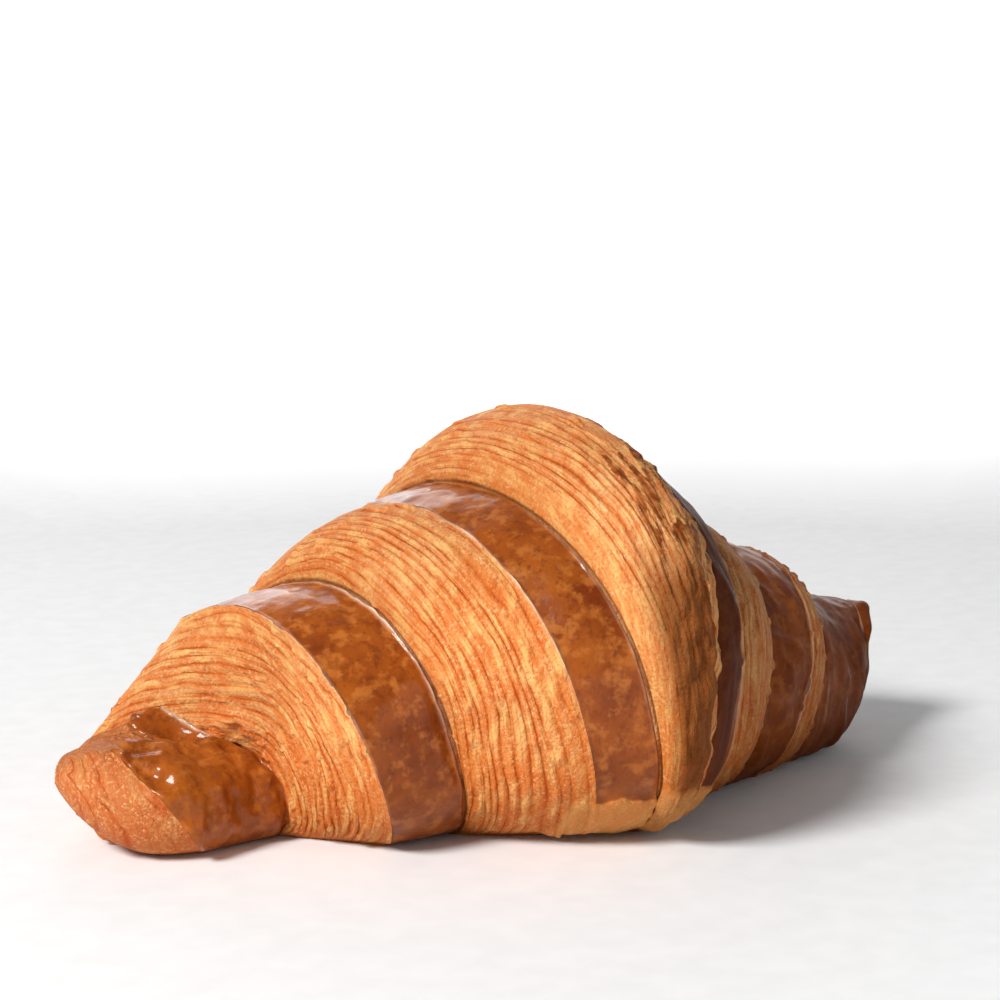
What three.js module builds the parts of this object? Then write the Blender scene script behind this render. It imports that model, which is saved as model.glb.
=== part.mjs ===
// A butter croissant, baked whole: one roll of laminated dough, in millimetres, +Z up.
// It lies on its flat base with its length along X, its near tip at -X and its convex side at -Y.
// The roll is a strip wound round itself, so each wrap ends in a ledge that runs round the body
// as a slanting turn: a cut edge, a short riser down to a crease, and the glazed wrap below it.
import * as THREE from "three";

// Driving sizes.
const LENGTH = 160;
const HALF = LENGTH / 2;
const COLUMNS = 56;
const TIP_ROWS = 5;

// A section across the roll: a rounded shape, flat where it rests.
const HALF_WIDTH_SHARE = 0.72;
const BACK_SHARE = 0.93;
const WAIST_SHARE = 0.495;
const SINK_SHARE = 0.047;
const UPPER_ROUNDNESS = 2.07;
const LOWER_ROUNDNESS = 2.8;

// The bend of the roll seen from above, as offsets along Y.
const BOW = 10.4;
const SKEW = -3.1;
const FAR_CURL = -5.9;

// The rounded ends, which stand clear of the surface below.
const NEAR_ROUND_FROM = 0.794;
const FAR_ROUND_FROM = 0.862;
const LIFT_FROM = 0.75;
const NEAR_LIFT = 10.4;
const FAR_LIFT = 20;

// How a ledge runs round the roll.
const BASE_ANGLE = 145;
const BACK_LEAD = 1.24;
const GROWTH_PER_TURN = 0.19;
const LEAST_GAP = 0.85;
const GAP_SOFTNESS = 1.4;
const TUCK_FROM = -35;
const TUCK_TO = 30;

// Each ledge from the near tip to the far one. at is its place on the crest, lead the distance that
// it moves along the roll in one turn, bend the change of that lead, tuck a shift at the back,
// height and width its section, and to the kind of surface from here to the next ledge.
const LEDGES = {
  nearNoseEdge: { at: -77.7, lead: 53, bend: -12, height: 18.3, width: 1.2, to: "flap" },
  nearNoseCrease: { at: -53.5, lead: 48.7, bend: -76, tuck: -13, height: 15.5, width: 0.84, to: "slope" },
  nearFirstEdge: { at: -50, lead: 41.3, bend: 8, height: 37.8, width: 1.04, to: "terrace" },
  nearFirstCrease: { at: -37, lead: 47, bend: -16, height: 40.6, width: 0.9, to: "rise" },
  nearSecondEdge: { at: -21.2, lead: 22.5, bend: 51, height: 52.7, width: 1.07, to: "terrace" },
  nearSecondCrease: { at: -11.5, lead: 20, bend: 46, height: 55.6, width: 1.1, to: "crownRise" },
  nearCrownEdge: { at: 4.2, lead: 1, bend: 2, height: 68.4, width: 0.98, to: "terrace" },
  farCrownEdge: { at: 10.7, lead: -13.8, bend: -7, height: 61.8, width: 1.04, to: "fall" },
  farSecondCrease: { at: 21.4, lead: -21, bend: 0, height: 53.6, width: 1.01, to: "terrace" },
  farSecondEdge: { at: 25, lead: -25, bend: 8, height: 50, width: 0.99, to: "fall" },
  farFirstCrease: { at: 39.1, lead: -34, bend: 2, height: 41.3, width: 0.98, to: "terrace" },
  farFirstEdge: { at: 52.7, lead: -42.5, bend: 2, height: 38.2, width: 0.97, to: "fall" },
  farNoseCrease: { at: 58.8, lead: -33.4, bend: -1, height: 31.8, width: 0.95, to: "terrace" },
  farNoseEdge: { at: 78.6, lead: -22, bend: -5, height: 18.8, width: 0.93, to: "tip" },
};
const WRAPS = Object.values(LEDGES);

// The cut edge of each wrap shows its layers as grooves along the riser.
const GROOVE_DEPTH = 0.5;
const GROOVE_FULL_SPACING = 1.1;
const RISER_STEEPNESS = 1.8;
const RISER_SHOULDER = 1.35;
const SLOPE_ROUNDING = 0.1;

// The flap that ends the strip is wound over the near nose. Its free edge crosses the nose at an
// angle for each share of the way to the crease. It ends in a pointed corner that reaches a share of
// the way up the slope behind, at an angle, and spans straight to it over the crease.
const FLAP_THICKNESS = 0.9;
const FLAP_EDGE = [[0, 36], [0.18, 21], [0.55, 3], [0.85, -12], [1, -17]];
const CORNER_THICKNESS = 1.2;
const CORNER_REACH = [[-23, 0], [-17, 0.25], [-8, 0.2], [0, 0.11], [7, 0.035], [14, 0]];
const SPAN_PER_REACH = 3.6;

// The crown's front side carries a rough ridge, and the strip's other end shows as a lip along the
// base below it. The near tip is pinched at the top and the far one ends in a pointed nub.
const RIDGE_RISE = 0.8;
const RIDGE_SHARE = [[60, 0.62], [78, 0.47], [88, 0.37], [97, 0.26], [118, 0.2]];
const RIDGE_ANGLE = 95;
const RIDGE_REACH = 30;
const TAIL_LIP = { rise: 0.9, above: 124, fromPlace: -9, toPlace: 9 };
const PINCH = { rise: -1.7, place: -76.5, placeReach: 4.5, angle: -15, angleReach: 60 };
const NUB = { rise: 2.2, place: 79.5, placeReach: 3.5, angle: 38, angleReach: 34 };

// Whatever stands out further than this hides the grooves below it.
const LEAST_COVER = 0.1;

const CRUST = { color: 0xb9742f, roughness: 0.42, metalness: 0 };

const radians = (degrees) => (degrees * Math.PI) / 180;

function smoothstep(from, to, value) {
  const u = Math.min(Math.max((value - from) / (to - from), 0), 1);
  return u * u * (3 - 2 * u);
}

// 1 at a value, falling smoothly to about 0 beyond its reach.
function hump(value, at, reach) {
  return Math.exp(-2 * ((value - at) / reach) ** 2);
}

// The rise of a spot around a place and an angle.
function spotRise(spot, place, angle) {
  return spot.rise * hump(place, spot.place, spot.placeReach) * hump(angle, spot.angle, spot.angleReach);
}

// The height at x of a line through points [x, height] in order.
function lineThrough(points, x) {
  const after = points.findIndex(([at]) => x <= at);
  if (after < 0) return points[points.length - 1][1];
  if (after === 0) return points[0][1];
  const [x0, y0] = points[after - 1];
  const [x1, y1] = points[after];
  return y0 + ((y1 - y0) * (x - x0)) / (x1 - x0);
}

// The larger of two lengths, with a rounded change from one to the other.
function softMax(a, b) {
  return (a + b + Math.hypot(a - b, GAP_SOFTNESS)) / 2;
}

// The share of a turn at an angle from the crest. It grows towards the front and, so that each
// ledge closes on itself, runs back under the flat base.
function turnShare(angle) {
  const atBase = BASE_ANGLE / 360;
  const size = Math.abs(angle);
  const share = size <= BASE_ANGLE ? size / 360 : (atBase * (180 - size)) / (180 - BASE_ANGLE);
  return angle < 0 ? -share * BACK_LEAD : share;
}

// Where the ledges lie along the roll at an angle, in order and clear of the ends.
function ledgePlaces(angle) {
  const f = turnShare(angle);
  const behind = 1 - smoothstep(TUCK_FROM, TUCK_TO, angle);
  const places = WRAPS.map(
    ({ at, lead, bend, tuck = 0 }) => at + lead * f + bend * f * f + tuck * behind,
  );
  let floor = -HALF;
  for (let i = 0; i < places.length; i++) {
    places[i] = softMax(places[i], floor + LEAST_GAP);
    floor = places[i];
  }
  return places.map((place, i) => -softMax(-place, LEAST_GAP * (places.length - i) - HALF));
}

// How far up its riser the surface is, a share u of the way from crease to edge.
function riserShape(u) {
  return (1 - (1 - u) ** RISER_STEEPNESS) ** (1 / RISER_SHOULDER);
}

// The surface between two ledges: its rows, whether layers show there, and its rise from the
// first ledge to the second, a share u of the way.
const BANDS = {
  flap: { rows: 9, layered: false, rise: (u) => u },
  terrace: { rows: 3, layered: false, rise: (u) => u },
  rise: { rows: 12, layered: true, rise: riserShape },
  crownRise: { rows: 13, layered: true, rise: riserShape },
  fall: { rows: 8, layered: true, rise: (u) => 1 - riserShape(1 - u) },
  slope: { rows: 12, layered: true, rise: (u) => u + (riserShape(u) - u) * SLOPE_ROUNDING },
};

// How much of its full height the roll has at a place along it, less towards both ends.
function endShare(place) {
  const from = place < 0 ? NEAR_ROUND_FROM : FAR_ROUND_FROM;
  const u = Math.max((Math.abs(place) / HALF - from) / (1 - from), 0);
  return Math.sqrt(Math.max(1 - u * u, 0));
}

// The rows of the surface at an angle: where each lies, its section's height and width factor,
// and how deep it is sunk as a groove.
function rowsAt(angle) {
  const growth = 1 + GROWTH_PER_TURN * turnShare(angle);
  const places = ledgePlaces(angle);
  const first = WRAPS[0];
  const last = WRAPS[WRAPS.length - 1];
  const rows = [];
  for (let i = 1; i < TIP_ROWS; i++) {
    const along = 1 - Math.cos((i / TIP_ROWS) * (Math.PI / 2));
    const place = -HALF + (places[0] + HALF) * along;
    rows.push({ place, height: first.height, width: first.width, groove: 0, to: "tip", share: 0 });
  }
  for (let k = 0; k < WRAPS.length - 1; k++) {
    const here = WRAPS[k];
    const next = WRAPS[k + 1];
    const band = BANDS[here.to];
    const step = (places[k + 1] - places[k]) / band.rows;
    for (let i = 0; i < band.rows; i++) {
      const u = i / band.rows;
      const sunk = band.layered && i % 2 === 1;
      rows.push({
        place: places[k] + step * i,
        height: here.height + (next.height - here.height) * band.rise(u),
        width: here.width + (next.width - here.width) * u,
        groove: sunk ? GROOVE_DEPTH * Math.min(step / GROOVE_FULL_SPACING, 1) : 0,
        to: here.to,
        share: u,
      });
    }
  }
  for (let i = 0; i < TIP_ROWS; i++) {
    const along = Math.sin((i / TIP_ROWS) * (Math.PI / 2));
    const place = places[places.length - 1] + (HALF - places[places.length - 1]) * along;
    rows.push({ place, height: last.height, width: last.width, groove: 0, to: "tip", share: 0 });
  }
  return rows.map((row) => ({ ...row, height: row.height * endShare(row.place) * growth }));
}

// The roll's axis seen from above, and its direction.
function axisOffset(place) {
  const v = place / HALF;
  return BOW * v * v + SKEW * v + FAR_CURL * Math.max(v, 0) ** 4;
}

function axisSlope(place) {
  const v = place / HALF;
  return (2 * BOW * v + SKEW + 4 * FAR_CURL * Math.max(v, 0) ** 3) / HALF;
}

function endLift(place) {
  const u = Math.max((Math.abs(place) / HALF - LIFT_FROM) / (1 - LIFT_FROM), 0);
  return (place < 0 ? NEAR_LIFT : FAR_LIFT) * u ** 3;
}

// How far a row's surface stands out from the plain section at an angle, where something lies on it.
function standOut({ to, share, place }, angle) {
  const corner = lineThrough(CORNER_REACH, angle);
  if (to === "slope" && share < corner) return CORNER_THICKNESS;
  if (to === "flap" && angle > lineThrough(FLAP_EDGE, share)) {
    return FLAP_THICKNESS * (corner > 0 ? 1 : smoothstep(1, 0.9, share));
  }
  if (to === "crownRise" && Math.abs(angle - RIDGE_ANGLE) < RIDGE_REACH) {
    const past = share - lineThrough(RIDGE_SHARE, angle);
    return RIDGE_RISE * smoothstep(-0.08, 0.03, past) * smoothstep(0.5, 0.15, past);
  }
  const lip = TAIL_LIP;
  if (angle > lip.above && place > lip.fromPlace && place < lip.toPlace) return lip.rise;
  return spotRise(PINCH, place, angle) + spotRise(NUB, place, angle);
}

// A point of the surface, on the section of a row at an angle from the crest.
function surfacePoint(row, angle) {
  const { place, height, width } = row;
  const lying = standOut(row, angle);
  const out = lying > LEAST_COVER ? lying : lying - row.groove;
  const sine = Math.sin(radians(angle));
  const cosine = Math.cos(radians(angle));
  const upper = cosine >= 0;
  const power = upper ? UPPER_ROUNDNESS : LOWER_ROUNDNESS;
  const radius = (Math.abs(cosine) ** power + Math.abs(sine) ** power) ** (-1 / power);
  const waist = WAIST_SHARE * height;
  const halfWidth = HALF_WIDTH_SHARE * width * height * (angle < 0 ? BACK_SHARE : 1);
  const reach = upper ? height - waist : waist + SINK_SHARE * height;
  const across = -Math.max(halfWidth + out, 0) * radius * sine;
  const up = Math.max(reach + (upper ? out : 0), 0) * radius * cosine;
  const slope = axisSlope(place);
  const unit = 1 / Math.hypot(1, slope);
  return [
    place - across * slope * unit,
    axisOffset(place) + across * unit,
    Math.max(waist + up + endLift(place), 0),
  ];
}

// Draws the flap straight from the nose to its corner, in one column of the surface.
function spanCrease(rows, points, angle) {
  const corner = lineThrough(CORNER_REACH, angle);
  const first = rows.findIndex(({ to, share }) => to === "flap" && share >= 1 - SPAN_PER_REACH * corner);
  const last = rows.findIndex(({ to, share }) => to === "slope" && share >= corner) - 1;
  if (first < 0 || last <= first) return points;
  const [start, end] = [points[first], points[last]];
  return points.map((point, i) => {
    if (i <= first || i >= last) return point;
    const along = (i - first) / (last - first);
    return point.map((_, k) => start[k] + (end[k] - start[k]) * along);
  });
}

function tipPoint(place) {
  return [place, axisOffset(place), endLift(place)];
}

// Two triangles for four points in order round a quad, split along its shorter diagonal.
function quadFaces(points, a, b, c, d) {
  const apart = (i, j) => Math.hypot(...points[i].map((value, k) => value - points[j][k]));
  return apart(a, c) <= apart(b, d) ? [a, b, c, a, c, d] : [a, b, d, b, c, d];
}

// Rings of points from the near tip to the far one, joined by triangles that face out.
function rollGeometry() {
  const columns = [];
  for (let j = 0; j < COLUMNS; j++) {
    const angle = -180 + (360 * j) / COLUMNS;
    const rows = rowsAt(angle);
    columns.push(spanCrease(rows, rows.map((row) => surfacePoint(row, angle)), angle));
  }
  const rowCount = columns[0].length;
  const points = [tipPoint(-HALF)];
  for (let i = 0; i < rowCount; i++) for (const column of columns) points.push(column[i]);
  points.push(tipPoint(HALF));
  const index = (i, j) => 1 + i * COLUMNS + (j % COLUMNS);
  const far = points.length - 1;
  const faces = [];
  for (let j = 0; j < COLUMNS; j++) {
    faces.push(0, index(0, j + 1), index(0, j));
    for (let i = 0; i < rowCount - 1; i++) {
      faces.push(...quadFaces(points, index(i, j), index(i, j + 1), index(i + 1, j + 1), index(i + 1, j)));
    }
    faces.push(far, index(rowCount - 1, j), index(rowCount - 1, j + 1));
  }
  const geometry = new THREE.BufferGeometry();
  geometry.setAttribute("position", new THREE.Float32BufferAttribute(points.flat(), 3));
  geometry.setIndex(faces);
  geometry.computeBoundingBox();
  const centre = geometry.boundingBox.getCenter(new THREE.Vector3());
  geometry.translate(-centre.x, -centre.y, 0);
  geometry.computeVertexNormals();
  return geometry;
}

const croissant = new THREE.Mesh(rollGeometry(), new THREE.MeshStandardMaterial(CRUST));
croissant.name = "croissant";

const model = new THREE.Group();
model.add(croissant);
export default model;
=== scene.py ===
"""A butter croissant, baked whole, on a pale studio floor.

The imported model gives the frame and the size. The crust here is the same roll of dough as the CAD
solid, worked out again from the same sizes with many more points, so that the layers of its cut
edges, its lips, blisters and dents are real relief. Lengths are in millimetres until the mesh is made.
"""

import math

import bpy
import numpy as np
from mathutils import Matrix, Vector


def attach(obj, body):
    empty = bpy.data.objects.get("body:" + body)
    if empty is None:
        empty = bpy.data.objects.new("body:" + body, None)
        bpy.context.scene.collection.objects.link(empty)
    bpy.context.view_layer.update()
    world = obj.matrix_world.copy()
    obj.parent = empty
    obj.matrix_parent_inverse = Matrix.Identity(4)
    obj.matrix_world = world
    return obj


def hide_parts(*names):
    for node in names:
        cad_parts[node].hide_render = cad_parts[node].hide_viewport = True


MM = 0.001
SEED = 11

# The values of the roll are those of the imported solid. Angles are in degrees from the crest, positive
# down the camera's side.
HALF = 80.0

# The section: its widths and levels as shares of its height, and how square its two halves are.
HALF_WIDTH_SHARE = 0.72
BACK_SHARE = 0.93
WAIST_SHARE = 0.495
SINK_SHARE = 0.047
UPPER_ROUNDNESS = 2.07
LOWER_ROUNDNESS = 2.8

# The curve of the roll's axis, seen from above.
BOW = 10.4
SKEW = -3.1
FAR_CURL = -5.9

# The shares of the half length where the ends round off and lift from the floor, and their lifts.
NEAR_ROUND_FROM = 0.794
FAR_ROUND_FROM = 0.862
LIFT_FROM = 0.75
NEAR_LIFT = 10.4
FAR_LIFT = 20

# How the ledges wind around the roll, down to the base, and how they keep clear of one another.
BASE_ANGLE = 145
BACK_LEAD = 1.24
GROWTH_PER_TURN = 0.19
LEAST_GAP = 0.85
GAP_SOFTNESS = 1.4
TUCK_FROM = -35
TUCK_TO = 30

# The curve of a riser from its crease up to its edge.
RISER_STEEPNESS = 1.8
RISER_SHOULDER = 1.35
SLOPE_ROUNDING = 0.1

# The edges and creases of the wraps, from the near tip to the far one. Each winds along the roll by its
# lead and bend, and leads to the band after it.
LEDGES = [
    dict(name="near nose edge", at=-77.7, lead=53, bend=-12, height=18.3, width=1.2, to="flap"),
    dict(
        name="near nose crease",
        at=-53.5,
        lead=48.7,
        bend=-76,
        tuck=-13,
        height=15.5,
        width=0.84,
        to="slope",
    ),
    dict(name="near first edge", at=-50, lead=41.3, bend=8, height=37.8, width=1.04, to="terrace"),
    dict(name="near first crease", at=-37, lead=47, bend=-16, height=40.6, width=0.9, to="rise"),
    dict(name="near second edge", at=-21.2, lead=22.5, bend=51, height=52.7, width=1.07, to="terrace"),
    dict(name="near second crease", at=-11.5, lead=20, bend=46, height=55.6, width=1.1, to="crown rise"),
    dict(name="near crown edge", at=4.2, lead=1, bend=2, height=68.4, width=0.98, to="crown"),
    dict(name="far crown edge", at=10.7, lead=-13.8, bend=-7, height=61.8, width=1.04, to="crown fall"),
    dict(name="far second crease", at=21.4, lead=-21, bend=0, height=53.6, width=1.01, to="terrace"),
    dict(name="far second edge", at=25, lead=-25, bend=8, height=50, width=0.99, to="fall"),
    dict(name="far first crease", at=39.1, lead=-34, bend=2, height=41.3, width=0.98, to="terrace"),
    dict(name="far first edge", at=52.7, lead=-42.5, bend=2, height=38.2, width=0.97, to="fall"),
    dict(name="far nose crease", at=58.8, lead=-33.4, bend=-1, height=31.8, width=0.95, to="terrace"),
    dict(name="far nose edge", at=78.6, lead=-22, bend=-5, height=18.8, width=0.93, to="tip"),
]


def riser_shape(u):
    """How far up its riser the surface is, a share u of the way from crease to edge."""
    return (1 - (1 - u) ** RISER_STEEPNESS) ** (1 / RISER_SHOULDER)


# The surface between two ledges: its rows, the layers that show there and how deep the gaps between
# them are, how glazed it is, and its rise from the first ledge to the second, a share u of the way.
BANDS = {
    "flap": dict(rows=70, layers=0, depth=0, glaze=1, rise=lambda u: u),
    "terrace": dict(rows=46, layers=0, depth=0, glaze=1, rise=lambda u: u),
    "slope": dict(
        rows=108, layers=14, depth=0.28, glaze=0, rise=lambda u: u + (riser_shape(u) - u) * SLOPE_ROUNDING
    ),
    "rise": dict(rows=104, layers=13, depth=0.28, glaze=0, rise=riser_shape),
    "crown rise": dict(rows=112, layers=15, depth=0.28, glaze=0, rise=riser_shape),
    "crown": dict(rows=26, layers=4, depth=0.16, glaze=0.25, rise=lambda u: u),
    "crown fall": dict(rows=44, layers=0, depth=0, glaze=1, rise=lambda u: 1 - riser_shape(1 - u)),
    "fall": dict(rows=36, layers=9, depth=0.2, glaze=0.2, rise=lambda u: 1 - riser_shape(1 - u)),
}
COLUMNS = 264
SECTION_STEPS = 2001
NEAR_TIP_ROWS = 44
NEAR_TIP_LAYERS = 7
NEAR_TIP_DEPTH = 0.24
FAR_TIP_ROWS = 30

# Layers pressed closer together than this, in mm, lose their relief.
LEAST_LAYER = 0.15
FULL_LAYER = 0.7

# How layers wander along the roll: by how many layers, over a cell of (layers, degrees).
LAYER_WANDER = ((0.42, (1.7, 70, 1)), (0.6, (4.3, 38, 1)), (0.13, (2.2, 10, 1)))

# How far the rows of a band without layers draw together towards its two ledges.
ROWS_DRAWN_TO_LEDGES = 0.11

# The lip of each ledge: how far it stands out and how pale it is, over a part of the turn, in degrees. The
# pale is partly the lip's pale cut edge and partly a painted highlight on its rim.
LIPS = {
    "near first edge": dict(rise=0.3, pale=0.4, at=60, reach=70),
    "near first crease": dict(rise=0.8, pale=1.0, at=42, reach=56),
    "near second edge": dict(rise=0.5, pale=0.9, at=42, reach=46),
    "near second crease": dict(rise=0.3, pale=0.3, at=60, reach=60),
    "far second edge": dict(rise=0.5, pale=0.7, at=80, reach=60),
    "far first edge": dict(rise=0.5, pale=0.6, at=80, reach=60),
    "far nose edge": dict(rise=0.4, pale=0.7, at=80, reach=60),
}
LIP_WIDTH = 0.32

# The gap where a wrap goes under the next, and how far the foot of the riser beside it reaches. The gap
# and the foot are painted darker: painted shade in the crease.
GAP_DEPTH = 0.6
GAP_WIDTH = 0.35
FOOT_REACH = 2.2

# The flap that ends the strip is wound over the near nose. Its free edge crosses the nose at an angle
# for each share of the way to the crease.
FLAP_THICKNESS = 0.9
FLAP_EDGE_SHARES = (0, 0.18, 0.55, 0.85, 1)
FLAP_EDGE_ANGLES = (36, 27, 13, -3, -13)
FLAP_DENTS = 1.3

# It ends in a pointed corner on the slope behind. The corner begins between two angles at its side, and
# reaches a share of the way up the slope at each of its angles.
CORNER_THICKNESS = 1.2
CORNER_SIDE = (-16, -12.5)
CORNER_ANGLES = (-13, -7, 0, 7, 14)
CORNER_SHARES = (0.25, 0.2, 0.11, 0.035, 0)

# At each of these angles the surface runs straight over the crease, from a share of the flap to a share
# of the slope. The folds at both ends of that straight part are softened in small steps.
SPAN_ANGLES = (-30, -13, -7, 0, 7, 14, 26)
SPAN_STARTS = (1, 0.16, 0.16, 0.2, 0.3, 0.5, 1)
SPAN_ENDS = (0, 0.25, 0.2, 0.11, 0.035, 0, 0)
SOFTENING_STEPS = 300

# The blisters beside the corner: where they are on the slope, and how far they rise.
BLISTERS = dict(share=0.13, angle=16, share_reach=0.15, angle_reach=18, rise=2.1)

# A rough ridge runs down the crown's side, at a share of the way up it for each angle. Thin plates lie
# at the crown's upper edge.
RIDGE_ANGLES = (60, 78, 88, 97, 118)
RIDGE_SHARES = (0.62, 0.47, 0.37, 0.26, 0.2)
RIDGE_RISE = 0.8
PLATE_RISE = 0.45

# The end of the strip under the crown shows as a pale lumpy lip along the base, past an angle and
# between two places.
TAIL_LIP = dict(above=124, from_place=-9, to_place=9, rise=0.7)

# The near tip is pinched at its top and folded along its front. The far one ends in a pointed nub.
PINCH = dict(rise=-1.1, place=-77.5, place_reach=3.8, angle=-15, angle_reach=55)
NEAR_FOLD = dict(rise=0.9, place=-74.5, place_reach=3.4, angle=37, angle_reach=14)
NUB = dict(rise=2.2, place=79.5, place_reach=3.5, angle=38, angle_reach=34)

# The parts of the crust that are darker, and how much each adds. The crest, the flakes and the far end are
# baked darker; the far half, the crown's side and the crown's fall are partly baked darker and partly
# painted shade, as they face away from the key; the front is darker low down by the floor.
BROWNING_AND_SHADE = {
    "crest": 0.3,
    "far half": 0.55,
    "far end": 0.3,
    "flakes": 0.3,
    "crown side": 0.8,
    "front foot": 0.3,
    "crown fall": 0.85,
    "second glazed band": 0.2,
}


def smoothstep(low, high, value):
    """0 up to low, 1 from high on and a smooth change between them."""
    u = np.clip((value - low) / (high - low), 0, 1)
    return u * u * (3 - 2 * u)


def soft_max(a, b):
    """The larger of two lengths, with a rounded change from one to the other."""
    return (a + b + np.hypot(a - b, GAP_SOFTNESS)) / 2


def reading(along, turn, third=0.0):
    """The points (..., 3) where noise is read along the roll and around it."""
    return np.stack(np.broadcast_arrays(along, turn, third), axis=-1)


def noise(points, cell, seed):
    """Smooth noise from -1 to 1 at points (..., 3), with one random value per corner of a lattice."""
    p = np.asarray(points, float) / np.asarray(cell, float)
    base = np.floor(p).astype(np.int64)
    f = p - base
    f = f * f * f * (f * (6 * f - 15) + 10)
    total = np.zeros(p.shape[:-1])
    for corner in np.ndindex(2, 2, 2):
        at = base + np.array(corner)
        h = at[..., 0] * 374761393 + at[..., 1] * 668265263 + at[..., 2] * 2147483647 + seed * 974634777
        h = (h ^ (h >> 13)) * 1274126177
        value = ((h ^ (h >> 16)) & 0xFFFFFF) / float(0x7FFFFF) - 1
        weight = np.prod(np.where(np.array(corner) == 1, f, 1 - f), axis=-1)
        total += value * weight
    return total


def rough(points, cell, seed, octaves=3):
    """Noise summed over octaves, each twice as fine and half as strong as the one before."""
    total = 0
    for k in range(octaves):
        total = total + noise(points, np.asarray(cell, float) / 2**k, seed + 31 * k) * 0.5**k
    return total


def turn_share(angle):
    """The share of a turn from the crest, which runs back under the flat base."""
    at_base = BASE_ANGLE / 360
    size = np.abs(angle)
    share = np.where(size <= BASE_ANGLE, size / 360, at_base * (180 - size) / (180 - BASE_ANGLE))
    return np.where(angle < 0, -share * BACK_LEAD, share)


def ledge_places(angle):
    """Where the ledges lie along the roll at each angle, in order and clear of the ends."""
    f = turn_share(angle)
    behind = 1 - smoothstep(TUCK_FROM, TUCK_TO, angle)
    places = []
    floor = np.full_like(angle, -HALF)
    for ledge in LEDGES:
        place = ledge["at"] + ledge["lead"] * f + ledge["bend"] * f * f + ledge.get("tuck", 0) * behind
        floor = soft_max(place, floor + LEAST_GAP)
        places.append(floor)
    count = len(places)
    return [-soft_max(-place, LEAST_GAP * (count - i) - HALF) for i, place in enumerate(places)]


def end_share(place):
    """The share of its height that the section has at a place, less than 1 where the ends round off."""
    start = np.where(place < 0, NEAR_ROUND_FROM, FAR_ROUND_FROM)
    u = np.maximum((np.abs(place) / HALF - start) / (1 - start), 0)
    return np.sqrt(np.maximum(1 - u * u, 0))


def axis_offset(place):
    """How far the roll's axis lies to the back at a place."""
    v = place / HALF
    return BOW * v * v + SKEW * v + FAR_CURL * np.maximum(v, 0) ** 4


def axis_slope(place):
    """The slope of the roll's axis, seen from above."""
    v = place / HALF
    return (2 * BOW * v + SKEW + 4 * FAR_CURL * np.maximum(v, 0) ** 3) / HALF


def end_lift(place):
    """How far the section is lifted from the floor towards the tips."""
    u = np.maximum((np.abs(place) / HALF - LIFT_FROM) / (1 - LIFT_FROM), 0)
    return np.where(place < 0, NEAR_LIFT, FAR_LIFT) * u**3


def even_shares(rows, rise, run, climb, drawn):
    """Shares u from 0 to 1, spaced evenly along the curve that a band follows in section, or drawn
    together towards its two ends."""
    fine = np.linspace(0, 1, SECTION_STEPS)
    step = np.hypot(np.diff(fine) * run, np.diff(rise(fine)) * climb)
    length = np.concatenate([[0], np.cumsum(step)])
    share = np.arange(rows) / rows
    share = share - drawn * np.sin(math.tau * share)
    return share, np.interp(share, length / length[-1], fine)


def roll_rows(angle):
    """Every row of the roll: its place and height at each angle, its band and its share of that band."""
    places = ledge_places(angle)
    rows = dict(place=[], height=[], width=[], band=[], share=[])

    def add(place, height, width, band, share):
        for key, value in zip(rows, (place, height, width, band, share)):
            rows[key].append(np.broadcast_to(value, angle.shape))

    first, last = LEDGES[0], LEDGES[-1]
    for i in range(1, NEAR_TIP_ROWS):
        share = i / NEAR_TIP_ROWS
        along = 1 - math.cos(share * math.pi / 2)
        add(-HALF + (places[0] + HALF) * along, first["height"], first["width"], -1, share)
    for k, (here, after) in enumerate(zip(LEDGES, LEDGES[1:])):
        band = BANDS[here["to"]]
        climb = after["height"] - here["height"]
        run = np.median(places[k + 1] - places[k])
        drawn = 0 if band["layers"] else ROWS_DRAWN_TO_LEDGES
        for share, u in zip(*even_shares(band["rows"], band["rise"], run, abs(climb), drawn)):
            add(
                places[k] + (places[k + 1] - places[k]) * u,
                here["height"] + climb * band["rise"](u),
                here["width"] + (after["width"] - here["width"]) * u,
                k,
                share,
            )
    for i in range(FAR_TIP_ROWS):
        share = i / FAR_TIP_ROWS
        along = math.sin(share * math.pi / 2)
        add(places[-1] + (HALF - places[-1]) * along, last["height"], last["width"], len(LEDGES) - 1, share)
    rows = {key: np.array(value, float) for key, value in rows.items()}
    rows["height"] = rows["height"] * end_share(rows["place"]) * (1 + GROWTH_PER_TURN * turn_share(angle))
    return rows


def section_points(rows, angle):
    """The surface before any relief, as (rows, columns, 3)."""
    sine, cosine = np.sin(np.radians(angle)), np.cos(np.radians(angle))
    upper = cosine >= 0
    power = np.where(upper, UPPER_ROUNDNESS, LOWER_ROUNDNESS)
    radius = (np.abs(cosine) ** power + np.abs(sine) ** power) ** (-1 / power)
    height = rows["height"]
    waist = WAIST_SHARE * height
    half_width = HALF_WIDTH_SHARE * rows["width"] * height * np.where(angle < 0, BACK_SHARE, 1)
    reach = np.where(upper, height - waist, waist + SINK_SHARE * height)
    across = -half_width * radius * sine
    slope = axis_slope(rows["place"])
    unit = 1 / np.hypot(1, slope)
    return np.stack(
        [
            rows["place"] - across * slope * unit,
            axis_offset(rows["place"]) + across * unit,
            np.maximum(waist + reach * radius * cosine + end_lift(rows["place"]), 0),
        ],
        axis=-1,
    )


def surface_normals(points):
    """Unit normals of a grid of points whose columns close on themselves."""
    along = np.gradient(points, axis=0)
    around = np.roll(points, -1, axis=1) - np.roll(points, 1, axis=1)
    normal = np.cross(around, along)
    length = np.linalg.norm(normal, axis=-1, keepdims=True)
    return normal / np.maximum(length, 1e-9)


def by_band(rows, key):
    """A number of each row's band, or 0 at the two ends."""
    values = [BANDS[ledge["to"]][key] if ledge["to"] in BANDS else 0 for ledge in LEDGES]
    band = rows["band"].astype(int)
    return np.where(band >= 0, np.array(values, float)[np.maximum(band, 0)], 0)


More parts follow.
